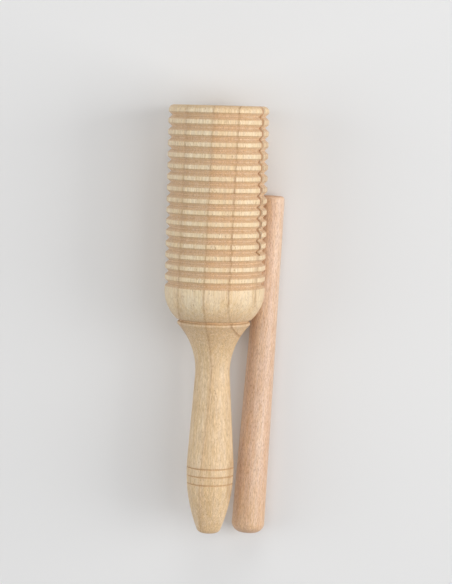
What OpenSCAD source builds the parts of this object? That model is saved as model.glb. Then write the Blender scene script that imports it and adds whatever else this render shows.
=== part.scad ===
// Ribbed guiro tone block and its beater, lying side by side on a table.
// The block is turned from one blank, bored from its rim end and slotted on one side.
// The origin is on the table, under the middle of the pair. The rim faces +Y.

/* [Barrel] */
// Diameter of the barrel over its ribs
barrel_d = 43.4; // [40:0.1:50]
// Length from the rim to where the shoulder begins
barrel_len = 79.9; // [76:0.1:96]
// Radius that breaks the outer edge of the rim
rim_round = 2.4; // [0.5:0.1:3]

/* [Resonance chamber] */
// Diameter of the blind bore
bore_d = 31; // [24:0.5:34]
// How far short of the shoulder the bore's flat floor lies
bore_stop = 1; // [0:0.5:8]

/* [Ribs] */
// Distance from one groove to the next
groove_pitch = 4.81; // [4:0.01:8]
// Distance from the rim to the middle of the first groove
first_groove_at = 4.5; // [4:0.1:10]
// Least plain length left between the last groove and the shoulder, from the groove's middle
plain_len = 3; // [3:0.1:20]
// Depth of a groove below the ribs
groove_depth = 1.5; // [0.8:0.1:1.8]
// Included angle of the cutter that turns the grooves
groove_angle = 86; // [60:1:90]
// Radius at the bottom of a groove
groove_root_r = 0.4; // [0.2:0.05:0.6]
// Radius that breaks the edges of the ribs
rib_edge_r = 0.35; // [0.2:0.05:0.6]

/* [Sound slot] */
// Width of the sawn slot
slot_w = 2.6; // [2:0.1:5]
// Length of the slot from the rim to its round end
slot_len = 63.7; // [40:0.1:72]
// How far round from the top the slot lies, towards the beater
slot_turn = 62.5; // [40:0.5:75]

/* [Shoulder and collar] */
// Radius of the shoulder
shoulder_r = 17; // [15:0.5:24]
// Length of the shoulder along the block
shoulder_len = 12.45; // [9:0.05:13.5]
// Width of the line that is cut in at the foot of the shoulder
collar_line_w = 0.9; // [0.5:0.1:1.5]
// Depth of that line below the bead
collar_line_depth = 1.1; // [0.6:0.1:1.6]
// Radius of the bead behind the line
bead_r = 0.9; // [0.5:0.1:1.4]
// How much lower the bead is than the foot of the shoulder
bead_drop = 0.4; // [0.2:0.05:1.5]

/* [Handle] */
// Diameter of the neck, the thinnest place
neck_d = 15; // [12:0.1:18]
// Radius of the curve that flares from the neck up to the bead
neck_arc_r = 30; // [22:0.5:36]
// Distance from the neck to the thickest place of the grip
grip_len = 43.4; // [34:0.1:60]
// Diameter of the grip at its thickest place
belly_d = 20.5; // [18.5:0.1:24]
// Distance from the thickest place to the handle's end
tail_len = 27.8; // [24:0.1:40]
// Diameter of the handle's blunt end, before its edge is broken
end_d = 9.2; // [5:0.1:12]
// Radius that breaks that edge
end_round = 2.6; // [0.6:0.1:3.5]

/* [Handle rings] */
// How many fine rings are cut round the thickest part of the grip
ring_count = 3; // [1:1:5]
// How far before its thickest place the first ring lies, on the side of the neck
ring_lead = 1.5; // [0:0.1:3]
// Distance from one ring to the next
ring_pitch = 3.55; // [2.5:0.05:5]
// Width of a ring
ring_w = 0.7; // [0.4:0.1:1.2]
// Depth of a ring
ring_depth = 0.35; // [0.2:0.05:0.6]

/* [Beater] */
// Length of the beater
beater_len = 150; // [130:1:180]
// Diameter of the beater at its thick end
beater_head_d = 14.6; // [12:0.1:18]
// Diameter of the beater at its thin end
beater_tip_d = 10; // [8:0.1:11.8]
// Radius that rounds the thick end's edge
beater_head_round = 4.4; // [1:0.1:5]
// Radius that rounds the thin end's edge
beater_tip_round = 1.6; // [0.8:0.1:3]

/* [How the two lie] */
// How far the beater's thick end reaches past the handle's end
beater_past = 2.45; // [0:0.05:8]
// Angle, seen from above, by which the beater's thin end leans away from the block
beater_yaw = 2.9; // [2.5:0.1:7]
// Clearance where the beater passes closest to the barrel
beater_gap = 0.5; // [0.3:0.1:4]

/* [Hidden] */
$fn = 96;

// Finish of the two woods
block_colour = [0.91, 0.80, 0.64];
beater_colour = [0.86, 0.70, 0.55];

// Straight steps in which a long curve and a small edge radius are drawn
curve_steps = 12;
edge_steps = 2;

// How far a cut starts outside the wood
overrun = 1;

barrel_r = barrel_d / 2;
bore_r = bore_d / 2;
bore_depth = barrel_len - bore_stop;
neck_r = neck_d / 2;
belly_r = belly_d / 2;
end_r = end_d / 2;
head_r = beater_head_d / 2;
tip_r = beater_tip_d / 2;

// The block's outline lies in a plane through its axis. A place on it is a radius r and a station s,
// the distance from the rim, as on the lathe.
function turned(r, s) = [r, -s];

// Arc about the centre at radius r and station s. Angle 0 points away from the axis and angle 90
// towards the handle's end.
function arc(r, s, radius, from, to, steps) =
    [for (i = [0:steps])
        let (a = from + (to - from) * i / steps)
        turned(r + radius * cos(a), s + radius * sin(a))];

// A groove is a V with a rounded bottom and two rounded edges, listed from its rim side
flank_turn = 90 - groove_angle / 2;
root_lift = groove_root_r * (1 / sin(groove_angle / 2) - 1);
groove_half_w = (groove_depth + root_lift) * tan(groove_angle / 2);
edge_run = rib_edge_r * tan(flank_turn / 2);

function groove(s) = concat(
    arc(barrel_r - rib_edge_r, s - groove_half_w - edge_run, rib_edge_r, 0, flank_turn, edge_steps),
    arc(barrel_r - groove_depth + groove_root_r, s, groove_root_r,
        180 + flank_turn, 180 - flank_turn, 2 * edge_steps),
    arc(barrel_r - rib_edge_r, s + groove_half_w + edge_run, rib_edge_r, -flank_turn, 0, edge_steps));

groove_count = 1 + floor((barrel_len - plain_len - first_groove_at) / groove_pitch);
ribs = [for (i = [0:groove_count - 1]) each groove(first_groove_at + i * groove_pitch)];

// The shoulder leaves the barrel without a corner and ends at the cut line
shoulder_turn = asin(shoulder_len / shoulder_r);
shoulder_foot_r = barrel_r - shoulder_r * (1 - cos(shoulder_turn));
collar_at = barrel_len + shoulder_len + collar_line_w / 2;

// The bead runs into the flare of the neck without a corner
bead_centre_r = shoulder_foot_r - bead_drop - bead_r;
bead_at = collar_at + collar_line_w / 2 + bead_r;
neck_centre_r = neck_r + neck_arc_r;
flare_turn = acos((neck_centre_r - bead_centre_r) / (neck_arc_r + bead_r));
neck_at = bead_at + (neck_arc_r + bead_r) * sin(flare_turn);

// The grip's curve peaks at the belly and meets the edge of the handle's end
belly_at = neck_at + grip_len;
block_len = belly_at + tail_len;
belly_arc_r = (pow(tail_len, 2) + pow(belly_r - end_r, 2)) / (2 * (belly_r - end_r));
belly_centre_r = belly_r - belly_arc_r;

// Neck curve and grip curve are joined by the straight line that touches both
centres_rise = neck_centre_r - belly_centre_r;
straight_turn = atan2(grip_len, centres_rise)
    - acos((neck_arc_r + belly_arc_r) / norm([grip_len, centres_rise]));

// Where the broken edge of the handle's end leaves the grip's curve
end_turn = asin((tail_len - end_round) / (belly_arc_r - end_round));
end_centre_r = belly_centre_r + (belly_arc_r - end_round) * cos(end_turn);

// A place on the grip's curve at a distance d past the belly, sunk below the surface by a depth
function grip_place(d, depth) =
    let (a = asin(d / belly_arc_r))
    turned(belly_centre_r + (belly_arc_r - depth) * cos(a), belly_at + (belly_arc_r - depth) * sin(a));

function ring(d) = [grip_place(d - ring_w / 2, 0), grip_place(d, ring_depth), grip_place(d + ring_w / 2, 0)];

rings = [for (i = [0:ring_count - 1]) each ring(i * ring_pitch - ring_lead)];
before_rings = asin((-ring_lead - ring_w) / belly_arc_r);
after_rings = asin(((ring_count - 1) * ring_pitch - ring_lead + ring_w) / belly_arc_r);

block_outline = concat(
    [turned(0, 0)],
    arc(barrel_r - rim_round, rim_round, rim_round, -90, 0, 2 * edge_steps),
    ribs,
    arc(barrel_r - shoulder_r, barrel_len, shoulder_r, 0, shoulder_turn, curve_steps),
    [turned(bead_centre_r + bead_r - collar_line_depth, collar_at)],
    arc(bead_centre_r, bead_at, bead_r, -90, flare_turn, 3 * edge_steps),
    arc(neck_centre_r, neck_at, neck_arc_r, 180 + flare_turn, 180 - straight_turn, curve_steps),
    arc(belly_centre_r, belly_at, belly_arc_r, -straight_turn, before_rings, edge_steps),
    rings,
    arc(belly_centre_r, belly_at, belly_arc_r, after_rings, end_turn, curve_steps),
    arc(end_centre_r, block_len - end_round, end_round, end_turn, 90, 2 * edge_steps),
    [turned(0, block_len)]);

// The beater's outline has its stations measured from its thin end
taper = atan((head_r - tip_r) / beater_len);
tip_edge_r = tip_r + beater_tip_round * (tan(taper) - 1 / cos(taper));
head_edge_r = head_r - beater_head_round * (tan(taper) + 1 / cos(taper));

beater_outline = concat(
    [turned(0, 0)],
    arc(tip_edge_r, beater_tip_round, beater_tip_round, -90, -taper, 2 * edge_steps),
    arc(head_edge_r, beater_len - beater_head_round, beater_head_round, -taper, 90, 4 * edge_steps),
    [turned(0, beater_len)]);

// Both lie on the table. The beater rests along its taper, beside the block. These are the lengths,
// along the block, of one unit of the beater, and the station of the middle of its thick end.
beater_advance = cos(taper) * cos(beater_yaw);
head_at = block_len + beater_past - beater_head_round * (1 - beater_advance)
    - head_edge_r * sqrt(1 - pow(beater_advance, 2));

// It passes closest to the block where the shoulder begins. These distances are sideways from the
// block's axis.
beater_run = head_at - barrel_len;
passing_r = head_r - beater_run / cos(beater_yaw) * sin(taper) / pow(cos(taper), 2);
passing_x = sqrt(pow(barrel_r + passing_r + beater_gap, 2) - pow(barrel_r - passing_r, 2));
lean = sin(beater_yaw) * cos(taper);
tip_x = passing_x - beater_run * tan(beater_yaw) + beater_len * lean;
reach = tip_x - beater_tip_round * lean + tip_edge_r * sqrt(1 - pow(lean, 2)) + beater_tip_round;

// The pair's box is centred on the origin
block_x = (barrel_r - reach) / 2;
rim_y = (block_len + beater_past) / 2;
tip_y = rim_y - head_at + beater_len * beater_advance;

// The chamber is drilled from the rim and has a flat floor
module chamber() {
    translate([0, 0, -bore_depth])
        cylinder(h = bore_depth + overrun, r = bore_r);
}

// The slot is sawn from the rim through one wall and ends in a half round
module sound_slot() {
    rotate([0, 0, slot_turn - 90])
        translate([0, 0, slot_w / 2 - slot_len]) {
            translate([0, -slot_w / 2, 0])
                cube([barrel_r + overrun, slot_w, slot_len - slot_w / 2 + overrun]);
            rotate([0, 90, 0])
                cylinder(h = barrel_r + overrun, d = slot_w);
        }
}

// Barrel, shoulder, neck and grip are one turned piece
module tone_block() {
    color(block_colour)
        translate([block_x, rim_y, barrel_r])
            rotate([-90, 0, 0])
                difference() {
                    rotate_extrude()
                        polygon(block_outline);
                    chamber();
                    sound_slot();
                }
}

module beater() {
    color(beater_colour)
        translate([block_x + tip_x, tip_y, tip_r * cos(taper)])
            rotate([0, 0, -beater_yaw])
                rotate([-90 - taper, 0, 0])
                    rotate_extrude()
                        polygon(beater_outline);
}

tone_block();
beater();
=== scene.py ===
from math import acos, asin, atan, atan2, cos, hypot, pi, radians, sin, sqrt, tan

import bmesh
import bpy
from mathutils import Matrix, Vector


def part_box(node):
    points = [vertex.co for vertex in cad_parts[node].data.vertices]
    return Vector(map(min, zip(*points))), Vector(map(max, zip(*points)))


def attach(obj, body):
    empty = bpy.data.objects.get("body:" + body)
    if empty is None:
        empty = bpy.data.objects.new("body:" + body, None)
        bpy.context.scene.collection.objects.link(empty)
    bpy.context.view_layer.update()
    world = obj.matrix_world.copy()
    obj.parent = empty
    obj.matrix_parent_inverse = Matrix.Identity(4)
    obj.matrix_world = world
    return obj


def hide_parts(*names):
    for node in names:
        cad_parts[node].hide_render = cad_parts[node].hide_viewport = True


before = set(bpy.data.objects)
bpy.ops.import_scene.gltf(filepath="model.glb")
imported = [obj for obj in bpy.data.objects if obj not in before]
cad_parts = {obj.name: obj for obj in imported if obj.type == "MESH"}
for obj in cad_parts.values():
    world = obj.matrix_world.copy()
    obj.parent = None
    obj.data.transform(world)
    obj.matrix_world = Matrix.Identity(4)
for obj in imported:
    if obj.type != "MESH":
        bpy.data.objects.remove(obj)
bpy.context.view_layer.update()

# The tone block: a hollow ribbed barrel and its handle, turned from one blank of pale hardwood between
# centres, bored blind from the rim, sawn through on one side for the sound slot, sanded and given a
# clear satin finish. It lies on the table with its rim towards +Y.
mm = 0.001
mm_per_m = 1000
block_low, block_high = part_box("tone_block")
block_x = (block_low[0] + block_high[0]) / 2 / mm
rim_y = block_high[1] / mm

barrel_r = 21.7
barrel_len = 79.9
rim_round = 2.4
bore_r = 15.5
bore_depth = 78.9
bore_edge = 0.3
groove_pitch = 4.81
first_groove_at = 4.5
groove_count = 16
groove_depth = 1.5
groove_angle = radians(86)
groove_root_r = 0.4
rib_edge_r = 0.35
slot_half_w = 1.3
slot_len = 63.7
slot_edge = 0.12
slot_angle = radians(27.5)
shoulder_r = 17
shoulder_len = 12.45
collar_line_w = 0.9
collar_line_depth = 1.1
bead_r = 0.9
bead_drop = 0.4
neck_r = 7.5
neck_arc_r = 30
grip_len = 43.4
belly_r = 10.25
tail_len = 27.8
end_r = 4.6
end_round = 2.6
ring_count = 3
ring_lead = 1.5
ring_pitch = 3.55
ring_w = 0.7
ring_depth = 0.35

# How many steps each curve of the outline is made in
rim_steps = 9
edge_steps = 3
root_steps = 4
shoulder_steps = 24
bead_steps = 14
neck_steps = 26
belly_steps = 6
tail_steps = 18
end_steps = 8


# A place on an outline is its distance from the turning axis and its station, as on the lathe
def arc(r, s, radius, start, end, steps):
    places = []
    for i in range(steps + 1):
        a = start + (end - start) * i / steps
        places.append((r + radius * cos(a), s + radius * sin(a)))
    return places


# The same curves, one after the other, that the solid is turned to
shoulder_turn = asin(shoulder_len / shoulder_r)
shoulder_foot_r = barrel_r - shoulder_r * (1 - cos(shoulder_turn))
collar_at = barrel_len + shoulder_len + collar_line_w / 2
bead_centre_r = shoulder_foot_r - bead_drop - bead_r
bead_at = collar_at + collar_line_w / 2 + bead_r
neck_centre_r = neck_r + neck_arc_r
flare_turn = acos((neck_centre_r - bead_centre_r) / (neck_arc_r + bead_r))
neck_at = bead_at + (neck_arc_r + bead_r) * sin(flare_turn)
belly_at = neck_at + grip_len
block_len = belly_at + tail_len
belly_arc_r = (tail_len ** 2 + (belly_r - end_r) ** 2) / (2 * (belly_r - end_r))
belly_centre_r = belly_r - belly_arc_r
centres_rise = neck_centre_r - belly_centre_r
centres_apart = hypot(grip_len, centres_rise)
straight_turn = atan2(grip_len, centres_rise) - acos((neck_arc_r + belly_arc_r) / centres_apart)
end_turn = asin((tail_len - end_round) / (belly_arc_r - end_round))
end_centre_r = belly_centre_r + (belly_arc_r - end_round) * cos(end_turn)

flank_turn = pi / 2 - groove_angle / 2
root_lift = groove_root_r * (1 / sin(groove_angle / 2) - 1)
groove_half_w = (groove_depth + root_lift) * tan(groove_angle / 2)
edge_run = rib_edge_r * tan(flank_turn / 2)


def between(start, end, share):
    return (start[0] + (end[0] - start[0]) * share, start[1] + (end[1] - start[1]) * share)


# Two places just inside the ends of a straight flank, so that only its ends look rounded
def flank(start, end):
    return [between(start, end, 0.08), between(start, end, 0.92)]


# A groove with a place just outside each edge, so that the ribs' crowns stay flat
def groove(s):
    beside = 0.08
    edge = barrel_r - rib_edge_r
    root = barrel_r - groove_depth + groove_root_r
    rim_edge = arc(edge, s - groove_half_w - edge_run, rib_edge_r, 0, flank_turn, edge_steps)
    bottom = arc(root, s, groove_root_r, pi + flank_turn, pi - flank_turn, root_steps)
    far_edge = arc(edge, s + groove_half_w + edge_run, rib_edge_r, -flank_turn, 0, edge_steps)
    return ([(barrel_r, rim_edge[0][1] - beside)] + rim_edge + flank(rim_edge[-1], bottom[0])
            + bottom + flank(bottom[-1], far_edge[0]) + far_edge + [(barrel_r, far_edge[-1][1] + beside)])


# A ring's cut, as shares of its width along the grip and of its depth
ring_cut = [(-0.65, 0), (-0.5, 0), (-0.3, 0.35), (0, 1), (0.3, 0.35), (0.5, 0), (0.65, 0)]


def ring(d):
    places = []
    for along, sunk in ring_cut:
        a = asin((d + along * ring_w) / belly_arc_r)
        radius = belly_arc_r - sunk * ring_depth
        places.append((belly_centre_r + radius * cos(a), belly_at + radius * sin(a)))
    return places


ring_places = [i * ring_pitch - ring_lead for i in range(ring_count)]
before_rings = asin((ring_places[0] - ring_w) / belly_arc_r)
after_rings = asin((ring_places[-1] + ring_w) / belly_arc_r)
line_bottom_r = bead_centre_r + bead_r - collar_line_depth
line_bottom_round = 0.12

outline = arc(barrel_r - rim_round, rim_round, rim_round, -pi / 2, 0, rim_steps)
for i in range(groove_count):
    outline += groove(first_groove_at + i * groove_pitch)
outline += arc(barrel_r - shoulder_r, barrel_len, shoulder_r, 0, shoulder_turn, shoulder_steps)
outline += [(line_bottom_r + line_bottom_round, collar_at - line_bottom_round), (line_bottom_r, collar_at)]
outline += arc(bead_centre_r, bead_at, bead_r, -pi / 2, flare_turn, bead_steps)
outline += arc(neck_centre_r, neck_at, neck_arc_r, pi + flare_turn, pi - straight_turn, neck_steps)[1:]
outline += arc(belly_centre_r, belly_at, belly_arc_r, -straight_turn, before_rings, belly_steps)
for d in ring_places:
    outline += ring(d)
outline += arc(belly_centre_r, belly_at, belly_arc_r, after_rings, end_turn, tail_steps)
outline += arc(end_centre_r, block_len - end_round, end_round, end_turn, pi / 2, end_steps)[1:]
outline += [(end_centre_r * 0.6, block_len), (end_centre_r * 0.2, block_len)]


def outline_radius(s):
    for (r_a, s_a), (r_b, s_b) in zip(outline, outline[1:]):
        if s_a <= s <= s_b and s_b > s_a:
            return r_a + (r_b - r_a) * (s - s_a) / (s_b - s_a)
    return barrel_r


def bore_radius(s):
    if s >= bore_edge:
        return bore_r
    return bore_r + bore_edge - sqrt(bore_edge ** 2 - (bore_edge - s) ** 2)


# Where the saw cut ends, the rows of the mesh follow its half round, and the outline's own rows keep a
# little clear of it. A row is its radius, its station, and how far round the end of the slot it lies,
# from 0 beside the straight walls to a right angle, or None past the slot.
slot_end_at = slot_len - slot_half_w
slot_reach = slot_half_w + slot_edge
slot_end_steps = 12
clear_before = 0.1
clear_after = 0.05
rows = [(r, s, 0) for r, s in outline if s < slot_end_at - clear_before]
for i in range(slot_end_steps + 1):
    turn = pi / 2 * i / slot_end_steps
    s = slot_end_at + slot_reach * sin(turn)
    rows.append((outline_radius(s), s, turn))
slotted = len(rows)
rows += [(r, s, None) for r, s in outline if s > slot_end_at + slot_reach + clear_after]

# Steps round the outside, round the bore, down a wall of the slot, and over the slot's rounded edge
columns = 180
bore_columns = 45
wall_steps = 4
edge_turns = [pi / 2, pi / 3, pi / 6, 0]

block_mesh = bmesh.new()


# A place in the slot's own directions: u out from the axis through the slot's middle, v across the slot
def turned_place(u, v, s):
    x = block_x + u * cos(slot_angle) - v * sin(slot_angle)
    z = barrel_r + u * sin(slot_angle) + v * cos(slot_angle)
    return block_mesh.verts.new((x * mm, (rim_y - s) * mm, z * mm))


# One row round the axis, open at the slot, whose edge is at distance v from the slot's middle plane
def turned_row(r, s, v, count):
    gap = asin(v / r)
    row = []
    for j in range(count + 1):
        a = gap + (2 * pi - 2 * gap) * j / count
        row.append(turned_place(r * cos(a), r * sin(a), s))
    return row


def join_rows(row_a, row_b):
    for j in range(len(row_a) - 1):
        block_mesh.faces.new((row_a[j], row_b[j], row_b[j + 1], row_a[j + 1]))


# The slot's wall beside one row, from the rounded edge on the barrel down to the bore
def wall_places(r, s, turn):
    places = []
    for edge_turn in edge_turns:
        offset = slot_half_w + slot_edge * (1 - cos(edge_turn))
        v = offset * cos(turn)
        station = slot_end_at + offset * sin(turn) if turn > 0 else s
        radius = outline_radius(station) if turn > 0 else r
        places.append((sqrt(radius ** 2 - v ** 2) - slot_edge * (1 - sin(edge_turn)), v, station))
    top_u, v, station = places[-1]
    bottom_u = sqrt(bore_radius(station) ** 2 - v ** 2)
    for i in range(1, wall_steps + 1):
        places.append((top_u + (bottom_u - top_u) * i / wall_steps, v, station))
    return places


outer = []
for r, s, turn in rows:
    v = 0 if turn is None else slot_reach * cos(turn)
    outer.append(turned_row(r, s, v, columns))
for row_a, row_b in zip(outer, outer[1:]):
    join_rows(row_a, row_b)
centre = turned_place(0, 0, block_len)
for j in range(columns):
    block_mesh.faces.new((outer[-1][j], centre, outer[-1][j + 1]))

# The two walls of the slot, and the flat rim between the barrel's outside and the bore
walls = [wall_places(*row) for row in rows[:slotted]]
for side in (1, -1):
    grid = [[turned_place(u, side * v, s) for u, v, s in wall] for wall in walls]
    for row_a, row_b in zip(grid, grid[1:]):
        join_rows(row_a, row_b)

face_rows = [turned_row(hypot(u, v), 0, v, columns) for u, v, s in walls[0]]
for row_a, row_b in zip(face_rows, face_rows[1:]):
    join_rows(row_a, row_b)

# The bore: beside the slot, past its end, and round the corner to the flat floor. A row of the floor is
# how far in from the bore's wall, and how far up from the floor, it lies.
past_slot = [66, 69, 72, 75, 77, 78.4]
floor_rows = [(0.06, 0.2), (0.2, 0.06), (0.5, 0), (5, 0), (10, 0), (14.5, 0)]
bore_rows = []
for wall in walls[1:]:
    bottom_u, v, station = wall[-1]
    bore_rows.append(turned_row(bore_radius(station), station, v, bore_columns))
bore_rows += [turned_row(bore_r, s, 0, bore_columns) for s in past_slot]
bore_rows += [turned_row(bore_r - inset, bore_depth - above, 0, bore_columns) for inset, above in floor_rows]
outer_to_bore = columns // bore_columns
for j in range(bore_columns):
    mouth = [face_rows[-1][j * outer_to_bore + k] for k in range(outer_to_bore, -1, -1)]
    block_mesh.faces.new(mouth + [bore_rows[0][j], bore_rows[0][j + 1]])
for row_a, row_b in zip(bore_rows, bore_rows[1:]):
    join_rows(row_a, row_b)
centre = turned_place(0, 0, bore_depth)
for j in range(bore_columns):
    block_mesh.faces.new((bore_rows[-1][j], centre, bore_rows[-1][j + 1]))

# The rows that meet are joined, and slivers go. What is printed shows how many edges are left open.
meeting = 0.002 * mm
sliver = 0.001 * mm
bmesh.ops.remove_doubles(block_mesh, verts=block_mesh.verts, dist=meeting)
bmesh.ops.dissolve_degenerate(block_mesh, edges=block_mesh.edges, dist=sliver)
bmesh.ops.recalc_face_normals(block_mesh, faces=block_mesh.faces)
open_edges = [e for e in block_mesh.edges if len(e.link_faces) != 2]
print("tone block faces", len(block_mesh.faces), "open edges", len(open_edges), "volume",
      round(block_mesh.calc_volume() / mm ** 3, 1))


# A mesh becomes a smooth piece with its few real corners kept sharp
def smooth_piece(name, shape, material):
    corner = radians(50)
    mesh = bpy.data.meshes.new(name)
    shape.to_mesh(mesh)
    shape.free()
    mesh.shade_smooth()
    mesh.set_sharp_from_angle(angle=corner)
    mesh.materials.append(material)
    piece = bpy.data.objects.new(name, mesh)
    bpy.context.scene.collection.objects.link(piece)
    return piece


# A colour as a painter's chart gives it, each part from 0 to 255
def chart_colour(red, green, blue):
    parts = []
    for part in (red, green, blue):
        share = part / 255
        parts.append(share / 12.92 if share <= 0.04045 else ((share + 0.055) / 1.055) ** 2.4)
    return (*parts, 1)


# One node of a finish: what is given for a socket is linked if it is a socket and set if it is a value
def node(tree, kind, sockets, output=0, **settings):
    made = tree.nodes.new(kind)
    for name, value in settings.items():
        setattr(made, name, value)
    for key, value in sockets.items():
        if isinstance(value, bpy.types.NodeSocket):
            tree.links.new(value, made.inputs[key])
        else:
            made.inputs[key].default_value = value
    return made.outputs[output]


def maths(tree, operation, *values):
    return node(tree, "ShaderNodeMath", dict(enumerate(values)), operation=operation)


def measure(tree, operation, *vectors):
    return node(tree, "ShaderNodeVectorMath", dict(enumerate(vectors)), output="Value", operation=operation)


# A noise runs about a half, and this is how far above or below that it is
def swing(tree, noise):
    return maths(tree, "SUBTRACT", noise, 0.5)


# Runs smoothly from 0 where the value is at low to the top where it is at high
def rise(tree, value, low, high, top=1.0):
    return node(tree, "ShaderNodeMapRange", {
        "Value": value, "From Min": low, "From Max": high, "To Max": top}, interpolation_type="SMOOTHSTEP")


def tint(tree, amount, colour_a, colour_b, way="MIX"):
    return node(tree, "ShaderNodeMix", {0: amount, 6: colour_a, 7: colour_b}, output=2,
                data_type="RGBA", blend_type=way)


# Noise in a wood's own directions, in patches of the given size across and along the fibres, in mm
def fibre_noise(tree, place, across, along, detail=2.0, roughness=0.5, shift=0.0):
    stretched = node(tree, "ShaderNodeMapping", {
        "Vector": place, "Location": (shift, shift, shift), "Scale": (1 / across, 1 / along, 1 / across)})
    return node(tree, "ShaderNodeTexNoise", {
        "Vector": stretched, "Scale": 1.0, "Detail": detail, "Roughness": roughness})


def strongest(tree, lines):
    result = lines[0]
    for line in lines[1:]:
        result = maths(tree, "MAXIMUM", result, line)
    return result


# Lighter and darker wood from one value: its red changes least and its blue most
def wood_shade(tree, shade):
    return node(tree, "ShaderNodeCombineColor", {
        "Red": maths(tree, "POWER", shade, 0.8), "Green": shade, "Blue": maths(tree, "POWER", shade, 1.25)})


# The clear satin lacquer over a wood's colour, fine relief and roughness
def satin_finish(tree, colour, relief, rough):
    lacquered = tree.nodes["Principled BSDF"]
    bump = node(tree, "ShaderNodeBump", {"Strength": 0.25, "Distance": 0.12 * mm, "Height": relief})
    tree.links.new(colour, lacquered.inputs["Base Color"])
    tree.links.new(bump, lacquered.inputs["Normal"])
    tree.links.new(rough, lacquered.inputs["Roughness"])
    lacquered.inputs["Coat Weight"].default_value = 0.2
    lacquered.inputs["Coat Roughness"].default_value = 0.3


# Places on the block are measured in mm from the middle of its rim: x across, y along, z up
block_wood = bpy.data.materials.new("block_wood")
block_wood.use_nodes = True
wood = block_wood.node_tree
object_place = node(wood, "ShaderNodeTexCoord", {}, output="Object")
place = node(wood, "ShaderNodeMapping", {
    "Vector": object_place, "Location": (-block_x, -rim_y, -barrel_r), "Scale": (mm_per_m,) * 3})
split = node(wood, "ShaderNodeSeparateXYZ", {"Vector": place}).node
station = maths(wood, "MULTIPLY", split.outputs["Y"], -1)
facing = node(wood, "ShaderNodeTexCoord", {}, output="Normal")
end_grain = maths(wood, "ABSOLUTE", measure(wood, "DOT_PRODUCT", facing, (0, 1, 0)))

# Cut between the ribs: outward facing wood that lies below the barrel's surface. On the face that looks
# towards the handle, away from the lamps, the cut look starts a little deeper, as painted light that softens
# its shade.
from_axis = node(wood, "ShaderNodeVectorMath", {0: place, 1: (1, 0, 1)}, operation="MULTIPLY")
radius = measure(wood, "LENGTH", from_axis)
outward = maths(wood, "DIVIDE", measure(wood, "DOT_PRODUCT", facing, from_axis), radius)
hand_side = rise(wood, measure(wood, "DOT_PRODUCT", facing, (0, -1, 0)), 0, 0.3)
# Painted light: the darker cut look starts deeper on the face towards the handle
painted_light_lag = 0.26
lagged_radius = maths(wood, "MULTIPLY_ADD", hand_side, painted_light_lag, radius)
below = maths(wood, "MULTIPLY", rise(wood, lagged_radius, barrel_r - 0.02, barrel_r - 0.16),
              rise(wood, outward, 0.2, 0.4))
grooves_end = first_groove_at + (groove_count - 1) * groove_pitch + 1.7
ribbed = maths(wood, "MULTIPLY", rise(wood, station, grooves_end + 0.1, grooves_end),
               rise(wood, station, rim_round, rim_round + 0.1))
cut = maths(wood, "MULTIPLY", below, ribbed)

# Growth rings: nearly flat layers across the blank, which lean a little and bend aside at the neck.
# Each ends in a thin brown line that comes up slowly and stops short: where it lies across the blank,
# how strong it is, and over what width it comes up.
layers_face = (1, -0.03, 0.26)
waver = fibre_noise(wood, place, 9, 45, detail=1.5)
across_rings = measure(wood, "DOT_PRODUCT", place, layers_face)
neck_bend = maths(wood, "SUBTRACT", rise(wood, station, 90, 116, 1.5), rise(wood, station, 116, 167, 1.95))
side_bend = maths(wood, "MULTIPLY", rise(wood, across_rings, 9, 14), rise(wood, station, 93, 100, 1.3))
bends = maths(wood, "ADD", neck_bend, side_bend)
growth = maths(wood, "MULTIPLY_ADD", swing(wood, waver), 0.6, maths(wood, "SUBTRACT", across_rings, bends))
ring_lines = [(-19.5, 0.5, 1.5), (-15.2, 0.4, 1), (-9, 0.8, 2), (-4.7, 0.3, 1), (3.55, 0.85, 1.4),
              (7.4, 0.2, 0.8), (9.9, 0.35, 1), (14, 1, 1.5), (19.7, 0.3, 0.8), (23.3, 0.8, 1.6)]
drawn_lines = []
for at, strength, fade in ring_lines:
    before = maths(wood, "POWER", rise(wood, growth, at - fade, at, strength), 2.2)
    after = rise(wood, growth, at + 0.4, at + 0.05)
    drawn_lines.append(maths(wood, "MULTIPLY", before, after))

# The lines are broken along the fibres, weaker in the cuts and on the grip, and faint on one side of
# the shoulder
broken = rise(wood, fibre_noise(wood, place, 0.5, 3, detail=3, roughness=0.6, shift=7), 0.36, 0.62)
on_shoulder = maths(wood, "MULTIPLY", rise(wood, station, 83, 87), rise(wood, station, 95, 92))
faint_side = maths(wood, "MULTIPLY", rise(wood, growth, 11, 12, 0.55), on_shoulder)
weakenings = [maths(wood, "MULTIPLY_ADD", broken, 0.65, 0.35), maths(wood, "MULTIPLY_ADD", cut, -0.45, 0.85),
              maths(wood, "ADD", rise(wood, station, 132, 118, 0.4), 0.6),
              maths(wood, "SUBTRACT", 1.0, faint_side)]
ring_dark = strongest(wood, drawn_lines)
for weakening in weakenings:
    ring_dark = maths(wood, "MULTIPLY", ring_dark, weakening)

# Bands of tone, fibre streaks, short ticks, pores and the fine lines that the lathe leaves
bands = fibre_noise(wood, place, 4, 140, detail=2, shift=3)
streaks = fibre_noise(wood, place, 0.7, 26, detail=3, roughness=0.6, shift=11)
ticks = fibre_noise(wood, place, 0.5, 5, detail=2, roughness=0.6, shift=29)
fine = fibre_noise(wood, place, 0.22, 2.6, detail=2, roughness=0.7, shift=17)
pores = rise(wood, fibre_noise(wood, place, 0.22, 2, detail=1, shift=23), 0.66, 0.74)
open_pores = rise(wood, fibre_noise(wood, place, 0.42, 1.3, detail=1, shift=61), 0.65, 0.72)
warmth = fibre_noise(wood, place, 1.1, 9, detail=2, shift=37)
turning_lines = node(wood, "ShaderNodeTexNoise", {
    "W": station, "Scale": 2.6, "Detail": 3.0, "Roughness": 0.65}, noise_dimensions="1D")

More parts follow.
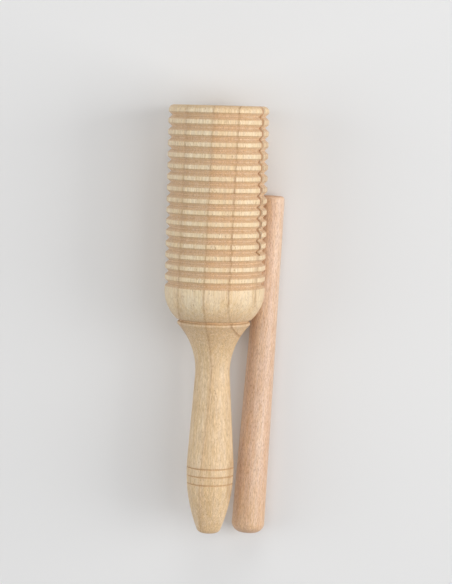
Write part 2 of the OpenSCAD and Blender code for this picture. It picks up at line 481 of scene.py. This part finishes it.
pale = chart_colour(234, 210, 174)
deep = chart_colour(229, 201, 162)
handle_pale = chart_colour(224, 194, 156)
handle_deep = chart_colour(216, 185, 144)
sap = (0.93, 0.98, 1.03, 1)
warm = (1, 0.965, 0.88, 1)
cut_and_shade_tone = chart_colour(215, 182, 147)
painted_light_cut_tone = chart_colour(222, 189, 153)
foot_tone = chart_colour(208, 174, 134)
painted_wall_light = chart_colour(252, 233, 204)
painted_wall_shade = chart_colour(236, 198, 162)
ring_brown = chart_colour(157, 108, 60)
pore_brown = chart_colour(170, 130, 92)
burnt_and_shade_brown = chart_colour(176, 128, 88)
wear_and_highlight_tone = chart_colour(240, 217, 182)

# The barrel is a little paler than the handle, and the end grain is deeper in tone. The cuts are deeper
# in tone, partly as the rougher cut wood and partly as painted shade in the grooves
on_handle = rise(wood, station, 91, 98)
tone = rise(wood, bands, 0.36, 0.64)
colour = tint(wood, on_handle, tint(wood, tone, pale, deep), tint(wood, tone, handle_pale, handle_deep))
colour = tint(wood, rise(wood, end_grain, 0.2, 0.85, 0.8), colour, foot_tone)
# Painted shade in the grooves, with a lighter tone on the face towards the handle as painted light
colour = tint(wood, cut, colour, tint(wood, hand_side, cut_and_shade_tone, painted_light_cut_tone))

# The slot's walls are painted pale near the outside, as painted light, and darker further in, as painted
# shade under the lip. The depth is measured from the turned surface of the ribs and grooves.
outside_bore = rise(wood, radius, bore_r + 0.2, bore_r + 0.8)
sawn = maths(wood, "MULTIPLY", rise(wood, outward, 0.35, 0.15), outside_bore)
from_groove = maths(wood, "PINGPONG", maths(wood, "SUBTRACT", station, first_groove_at), groove_pitch / 2)
flank_slope = -1 / tan(groove_angle / 2)
groove_drop = maths(wood, "MAXIMUM", maths(wood, "MULTIPLY_ADD", from_groove, flank_slope, groove_depth), 0.0)
saw_depth = maths(wood, "SUBTRACT", maths(wood, "SUBTRACT", barrel_r, groove_drop), radius)
# Painted light near the slot's outer edge, fading to painted shade deeper in
painted_wall_light_and_shade = tint(wood, rise(wood, saw_depth, 0.4, 1.2), painted_wall_light, painted_wall_shade)
colour = tint(wood, maths(wood, "MULTIPLY", sawn, rise(wood, end_grain, 0.6, 0.3)), colour, painted_wall_light_and_shade)

# Sapwood on the side away from the beater is cooler, and less so on the handle
sap_side = rise(wood, growth, 4.1, 2.5)
sap_amount = maths(wood, "MULTIPLY_ADD", on_handle, -0.3, 1.0)
colour = tint(wood, maths(wood, "MULTIPLY", sap_side, sap_amount), colour, sap, "MULTIPLY")

# Lighter and darker fibres, in the cut grooves the faint lines that the tool left, and a darker band
# past two of the growth lines
fine_depth = maths(wood, "MULTIPLY_ADD", maths(wood, "MAXIMUM", cut, on_handle), 0.55, 0.55)
tick_depth = maths(wood, "MULTIPLY_ADD", cut, -0.15, 0.65)
tool_depth = maths(wood, "MULTIPLY_ADD", cut, 0.42, 0.06)
fibres = maths(wood, "MULTIPLY", maths(wood, "MULTIPLY_ADD", streaks, 0.34, 0.83),
               maths(wood, "MULTIPLY_ADD", swing(wood, fine), fine_depth, 1.0))
fibres = maths(wood, "MULTIPLY", fibres, maths(wood, "MULTIPLY_ADD", swing(wood, ticks), tick_depth, 1.0))
tool_lines = maths(wood, "MULTIPLY", swing(wood, turning_lines), tool_depth)
past_middle = maths(wood, "MULTIPLY", rise(wood, growth, 3.4, 3.8, 0.07), rise(wood, growth, 7, 4))
past_left = maths(wood, "MULTIPLY", rise(wood, growth, -9.2, -8.8, 0.08), rise(wood, growth, -6.2, -8))
past_lines = maths(wood, "ADD", past_middle, past_left)
tooled = maths(wood, "SUBTRACT", maths(wood, "ADD", tool_lines, 1.0), past_lines)
shade = maths(wood, "MULTIPLY", fibres, tooled)
colour = tint(wood, 1.0, colour, wood_shade(wood, shade), "MULTIPLY")
colour = tint(wood, rise(wood, warmth, 0.4, 0.62), colour, warm, "MULTIPLY")
colour = tint(wood, ring_dark, colour, ring_brown)
colour = tint(wood, maths(wood, "MULTIPLY", pores, 0.65), colour, pore_brown)
colour = tint(wood, maths(wood, "MULTIPLY", open_pores, 0.6), colour, pore_brown)

# The edges of the ribs, the rim and the slot are paler and smoother, partly as handling wear and partly as
# a painted highlight, and the hollows beside them are a little darker
edges = node(wood, "ShaderNodeNewGeometry", {}, output="Pointiness")
patches = rise(wood, fibre_noise(wood, place, 2.5, 4, detail=3, shift=41), 0.4, 0.62)
wear_and_highlight = maths(wood, "MULTIPLY", rise(wood, edges, 0.53, 0.6), maths(wood, "MULTIPLY_ADD", patches, 0.7, 0.3))
darker_hollows = maths(wood, "MULTIPLY", rise(wood, edges, 0.47, 0.4), maths(wood, "MULTIPLY_ADD", patches, 0.5, 0.5))
# Paler convex edges: handling wear together with a painted highlight
colour = tint(wood, maths(wood, "MULTIPLY", wear_and_highlight, 0.35), colour, wear_and_highlight_tone)
colour = tint(wood, maths(wood, "MULTIPLY", darker_hollows, 0.2), colour, burnt_and_shade_brown)

# The line at the collar and the rings on the grip are a little burnt by the tool, and the bead is painted
# darker with the same brown, as painted shade that tones down its highlight: where each lies along the
# block, its half width and how strong it is
burnt_and_shaded_places = [(collar_at, 0.9, 0.16), (bead_at, 1.1, 0.22)]
burnt_and_shaded_places += [(belly_at + d, 0.8, 0.1) for d in ring_places]
burnt_and_shaded_lines = []
for at, half_w, strength in burnt_and_shaded_places:
    away_from = maths(wood, "ABSOLUTE", maths(wood, "SUBTRACT", station, at))
    burnt_and_shaded_lines.append(rise(wood, away_from, half_w, half_w * 0.3, strength))
burnt_and_shade = maths(wood, "MULTIPLY", strongest(wood, burnt_and_shaded_lines), rise(wood, outward, 0, 0.2))
# Burnt lines, and painted shade on the bead
colour = tint(wood, burnt_and_shade, colour, burnt_and_shade_brown)

relief = maths(wood, "MULTIPLY_ADD", pores, -0.6, maths(wood, "MULTIPLY", turning_lines, 0.5))
relief = maths(wood, "MULTIPLY_ADD", fine, 0.3, relief)
rough = maths(wood, "MULTIPLY_ADD", end_grain, 0.18, maths(wood, "MULTIPLY_ADD", streaks, 0.12, 0.4))
rough = maths(wood, "MULTIPLY_ADD", wear_and_highlight, -0.12, rough)
satin_finish(wood, colour, relief, rough)

turned_block = smooth_piece("turned_block", block_mesh, block_wood)
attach(turned_block, "block")
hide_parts("tone_block")

# The beater: one round stick of a redder hardwood, turned to a taper and sanded, its thick striking end
# well rounded and its thin end only broken. It is loose, and lies on its taper beside the block.
beater_len = 150
head_r = 7.3
tip_r = 5
head_round = 4.4
tip_round = 1.6
beater_yaw = radians(2.9)
tip_x = block_x + 24.7889
tip_y = 55.4694
taper = atan((head_r - tip_r) / beater_len)
tip_edge_r = tip_r + tip_round * (tan(taper) - 1 / cos(taper))
head_edge_r = head_r - head_round * (tan(taper) + 1 / cos(taper))
flat_r = 0.6
tip_ring_r = 2
head_ring_r = 1.6
tip_steps = 10
side_steps = 24
head_steps = 16
tip_end = arc(tip_edge_r, tip_round, tip_round, -pi / 2, -taper, tip_steps)
head_end = arc(head_edge_r, beater_len - head_round, head_round, -taper, pi / 2, head_steps)
stick_side = [between(tip_end[-1], head_end[0], i / side_steps) for i in range(1, side_steps)]
stick_outline = [(flat_r, 0), (tip_ring_r, 0)] + tip_end + stick_side + head_end
stick_outline += [(head_ring_r, beater_len), (flat_r, beater_len)]

# The stick's own directions: along it from the thin end, level across it, and up from it
along = Vector((-sin(beater_yaw) * cos(taper), -cos(beater_yaw) * cos(taper), sin(taper)))
level_across = Vector((-cos(beater_yaw), sin(beater_yaw), 0))
upwards = level_across.cross(along)
tip = Vector((tip_x, tip_y, tip_r * cos(taper)))
stick_columns = 96
stick_mesh = bmesh.new()
stick_rows = []
for r, s in stick_outline:
    row = []
    for j in range(stick_columns):
        a = 2 * pi * j / stick_columns
        spot = tip + along * s + level_across * r * cos(a) + upwards * r * sin(a)
        row.append(stick_mesh.verts.new(spot * mm))
    stick_rows.append(row)
for row_a, row_b in zip(stick_rows, stick_rows[1:]):
    for j in range(stick_columns):
        k = (j + 1) % stick_columns
        stick_mesh.faces.new((row_a[j], row_b[j], row_b[k], row_a[k]))
stick_mesh.faces.new(stick_rows[0])
stick_mesh.faces.new(stick_rows[-1])
bmesh.ops.recalc_face_normals(stick_mesh, faces=stick_mesh.faces)

# Places on the beater are measured in mm from the middle of its thin end, in its own directions
beater_wood = bpy.data.materials.new("beater_wood")
beater_wood.use_nodes = True
wood = beater_wood.node_tree
object_place = node(wood, "ShaderNodeTexCoord", {}, output="Object")
from_tip = node(wood, "ShaderNodeMapping", {
    "Vector": object_place, "Location": tuple(-tip), "Scale": (mm_per_m,) * 3})
across_stick = measure(wood, "DOT_PRODUCT", from_tip, level_across)
along_stick = measure(wood, "DOT_PRODUCT", from_tip, along)
place = node(wood, "ShaderNodeCombineXYZ", {
    "X": across_stick, "Y": along_stick, "Z": measure(wood, "DOT_PRODUCT", from_tip, upwards)})
facing = node(wood, "ShaderNodeTexCoord", {}, output="Normal")
end_grain = maths(wood, "ABSOLUTE", measure(wood, "DOT_PRODUCT", facing, along))
bands = fibre_noise(wood, place, 3.2, 60, detail=2, shift=5)
streaks = fibre_noise(wood, place, 0.6, 12, detail=3, roughness=0.6, shift=2)
fine = fibre_noise(wood, place, 0.22, 1.9, detail=2, roughness=0.7, shift=9)
warmth = fibre_noise(wood, place, 1.2, 8, detail=2, shift=31)
flecks = rise(wood, fibre_noise(wood, place, 0.3, 1.6, detail=1.5, shift=14), 0.55, 0.7)
rays = rise(wood, fibre_noise(wood, place, 0.4, 4, detail=2, shift=51), 0.63, 0.72)

pale = chart_colour(228, 197, 171)
deep = chart_colour(217, 182, 155)
end_tone = chart_colour(200, 156, 120)
fleck_brown = chart_colour(168, 118, 86)
ray_brown = chart_colour(186, 122, 84)
wear_and_highlight_tone = chart_colour(236, 206, 180)
warm = (1, 0.955, 0.86, 1)
thick_end_tint = (0.965, 0.93, 0.83, 1)
painted_shade_tint = (0.955, 0.905, 0.865, 1)

# Fibres, flecks and rays, on wood that is deeper in tone at the thick end, with painted shade along the
# side that faces the right lamp
colour = tint(wood, rise(wood, bands, 0.3, 0.7), pale, deep)
shade = maths(wood, "MULTIPLY", maths(wood, "MULTIPLY_ADD", streaks, 0.4, 0.81),
              maths(wood, "MULTIPLY_ADD", fine, 1.35, 0.335))
colour = tint(wood, 1.0, colour, wood_shade(wood, shade), "MULTIPLY")
colour = tint(wood, rise(wood, warmth, 0.38, 0.64), colour, warm, "MULTIPLY")
colour = tint(wood, rise(wood, along_stick, 118, 146), colour, thick_end_tint, "MULTIPLY")
# Painted shade: near the thick end, the side towards the right lamp is darker and redder
painted_shade_side = maths(wood, "MULTIPLY", rise(wood, across_stick, -2.5, -5), rise(wood, along_stick, 92, 106))
colour = tint(wood, painted_shade_side, colour, painted_shade_tint, "MULTIPLY")
colour = tint(wood, rise(wood, end_grain, 0.3, 0.95, 0.8), colour, end_tone)
colour = tint(wood, maths(wood, "MULTIPLY", flecks, 0.5), colour, fleck_brown)
colour = tint(wood, maths(wood, "MULTIPLY", rays, 0.4), colour, ray_brown)

# The thick end is scuffed pale where it has struck, and the thin end's edge is worn
scuffs = rise(wood, fibre_noise(wood, place, 0.9, 1.4, detail=3, roughness=0.65, shift=43), 0.5, 0.62)
struck = maths(wood, "MULTIPLY", rise(wood, along_stick, beater_len - 26, beater_len - 4), scuffs)
tip_edge = maths(wood, "MULTIPLY", rise(wood, along_stick, 3, 0.4), rise(wood, end_grain, 0.95, 0.6))
wear_and_highlight = maths(wood, "MAXIMUM", maths(wood, "MULTIPLY", struck, 0.22), maths(wood, "MULTIPLY", tip_edge, 0.35))
colour = tint(wood, wear_and_highlight, colour, wear_and_highlight_tone)

relief = maths(wood, "MULTIPLY_ADD", flecks, -0.6, maths(wood, "MULTIPLY", fine, 0.4))
rough = maths(wood, "MULTIPLY_ADD", wear_and_highlight, 0.3, maths(wood, "MULTIPLY_ADD", streaks, 0.14, 0.4))
satin_finish(wood, colour, relief, rough)

beater_stick = smooth_piece("beater_stick", stick_mesh, beater_wood)
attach(beater_stick, "loose_beater")
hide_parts("beater")

# The table: a plain matt board, painted pale, that the pair lies on. Away from the pair, where the lamps
# light it unevenly, it is shown in one even tone.
table_half = 3
table_pale = (0.8, 0.8, 0.8, 1)
far_paleness = 0.83
fade_start = 0.2
fade_end = 0.45
table_shape = bmesh.new()
for x, y in ((-1, -1), (1, -1), (1, 1), (-1, 1)):
    table_shape.verts.new((x * table_half, y * table_half, 0))
table_shape.faces.new(table_shape.verts)


# Is 1 where a thing is seen, straight on or mirrored, and 0 where it only lights other things
def seen(tree):
    ray = node(tree, "ShaderNodeLightPath", {}).node
    mirrored = maths(tree, "MAXIMUM", ray.outputs["Is Glossy Ray"], ray.outputs["Is Transmission Ray"])
    return maths(tree, "MAXIMUM", ray.outputs["Is Camera Ray"], mirrored)


table_paint = bpy.data.materials.new("table_paint")
table_paint.use_nodes = True
board = table_paint.node_tree
near_look = board.nodes["Principled BSDF"]
near_look.inputs["Base Color"].default_value = table_pale
near_look.inputs["Roughness"].default_value = 0.9
far_look = node(board, "ShaderNodeEmission", {"Strength": far_paleness})
from_middle = measure(board, "LENGTH", node(board, "ShaderNodeTexCoord", {}, output="Object"))
far_off = maths(board, "MULTIPLY", rise(board, from_middle, fade_start, fade_end), seen(board))
table_look = node(board, "ShaderNodeMixShader", {0: far_off, 1: near_look.outputs["BSDF"], 2: far_look})
board.links.new(table_look, board.nodes["Material Output"].inputs["Surface"])

table_mesh = bpy.data.meshes.new("table")
table_shape.to_mesh(table_mesh)
table_shape.free()
table_mesh.materials.append(table_paint)
table = bpy.data.objects.new("table", table_mesh)
bpy.context.scene.collection.objects.link(table)

# Soft studio light: a pale room, a large lamp to the right, and weaker ones left, overhead and beyond the
# rim. Where the room itself is seen, it is as pale as the table.
room_light = 0.287
world = bpy.data.worlds.new("room")
bpy.context.scene.world = world
world.use_nodes = True
room = world.node_tree
room_paleness = maths(room, "MULTIPLY_ADD", seen(room), far_paleness - room_light, room_light)
room.nodes["Background"].inputs["Color"].default_value = (1, 1, 1, 1)
room.links.new(room_paleness, room.nodes["Background"].inputs["Strength"])
bpy.context.scene.view_settings.view_transform = "Standard"

# A lamp's turn round the pair and its lift above the table, both in degrees, and its energy
lamp_distance = 1.3
lamp_size = 0.8
lamps = [("right_lamp", 0, 25, 8.08), ("upper_right_lamp", 0, 55, 3.5), ("left_lamp", 180, 30, 4.66),
         ("far_lamp", 90, 30, 3.9), ("upper_left_lamp", 180, 80, 2.14)]
for name, turn_degrees, lift_degrees, energy in lamps:
    turn = radians(turn_degrees)
    lift = radians(lift_degrees)
    lamp_data = bpy.data.lights.new(name, "AREA")
    lamp_data.energy = energy
    lamp_data.size = lamp_size
    lamp = bpy.data.objects.new(name, lamp_data)
    towards_lamp = Vector((cos(lift) * cos(turn), cos(lift) * sin(turn), sin(lift)))
    lamp.location = towards_lamp * lamp_distance
    lamp.rotation_euler = towards_lamp.to_track_quat("Z", "Y").to_euler()
    bpy.context.scene.collection.objects.link(lamp)

# The camera looks straight down on the pair, tilted a little towards the rim, as in the photo. Its focal
# length is given in pixels of the photo, whose longer side is its height.
photo_h = 584
focal_px = 2106
sensor_w = 36
distance = 0.914
tilt = radians(5.2)
roll = radians(1.48)
target = Vector((0.000977, 0.0139, 0.0217))
away = Vector((0, sin(tilt), cos(tilt)))
level = Vector((1, 0, 0))
upright = Vector((0, cos(tilt), -sin(tilt)))
right = level * cos(roll) + upright * sin(roll)
up = upright * cos(roll) - level * sin(roll)
camera_data = bpy.data.cameras.new("camera")
camera_data.sensor_width = sensor_w
camera_data.lens = focal_px * sensor_w / photo_h
camera = bpy.data.objects.new("camera", camera_data)
eye = target + away * distance
camera.matrix_world = Matrix((
    (right.x, up.x, away.x, eye.x),
    (right.y, up.y, away.y, eye.y),
    (right.z, up.z, away.z, eye.z),
    (0, 0, 0, 1)))
bpy.context.scene.collection.objects.link(camera)
bpy.context.scene.camera = camera
